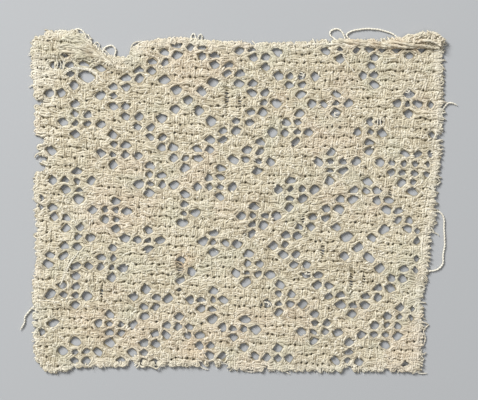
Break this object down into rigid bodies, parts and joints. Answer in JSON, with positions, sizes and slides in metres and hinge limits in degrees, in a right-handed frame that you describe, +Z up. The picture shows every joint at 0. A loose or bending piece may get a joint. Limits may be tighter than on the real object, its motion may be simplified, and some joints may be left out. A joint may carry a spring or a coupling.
{
  "type": "lace fragment",
  "caption": "Flat rectangular fragment of hand-worked openwork lace in thick cream cotton, with lozenges and small crosses of open cells and frayed, torn edges.",
  "frame": {"origin": "under the middle of the whole piece's box, on the surface that it lies on", "axes": "+X along the long side towards the frayed right edge, +Y towards the edge with the rolled corner, +Z up out of the face"},
  "size_m": [0.184, 0.1452, 0.0028],
  "materials": {
    "cream_thread": "thick unbleached cotton thread, matt, softly napped, slightly stained with age"
  },
  "bodies": {
    "root": {"lace": "cream_thread"}
  },
  "joints": []
}
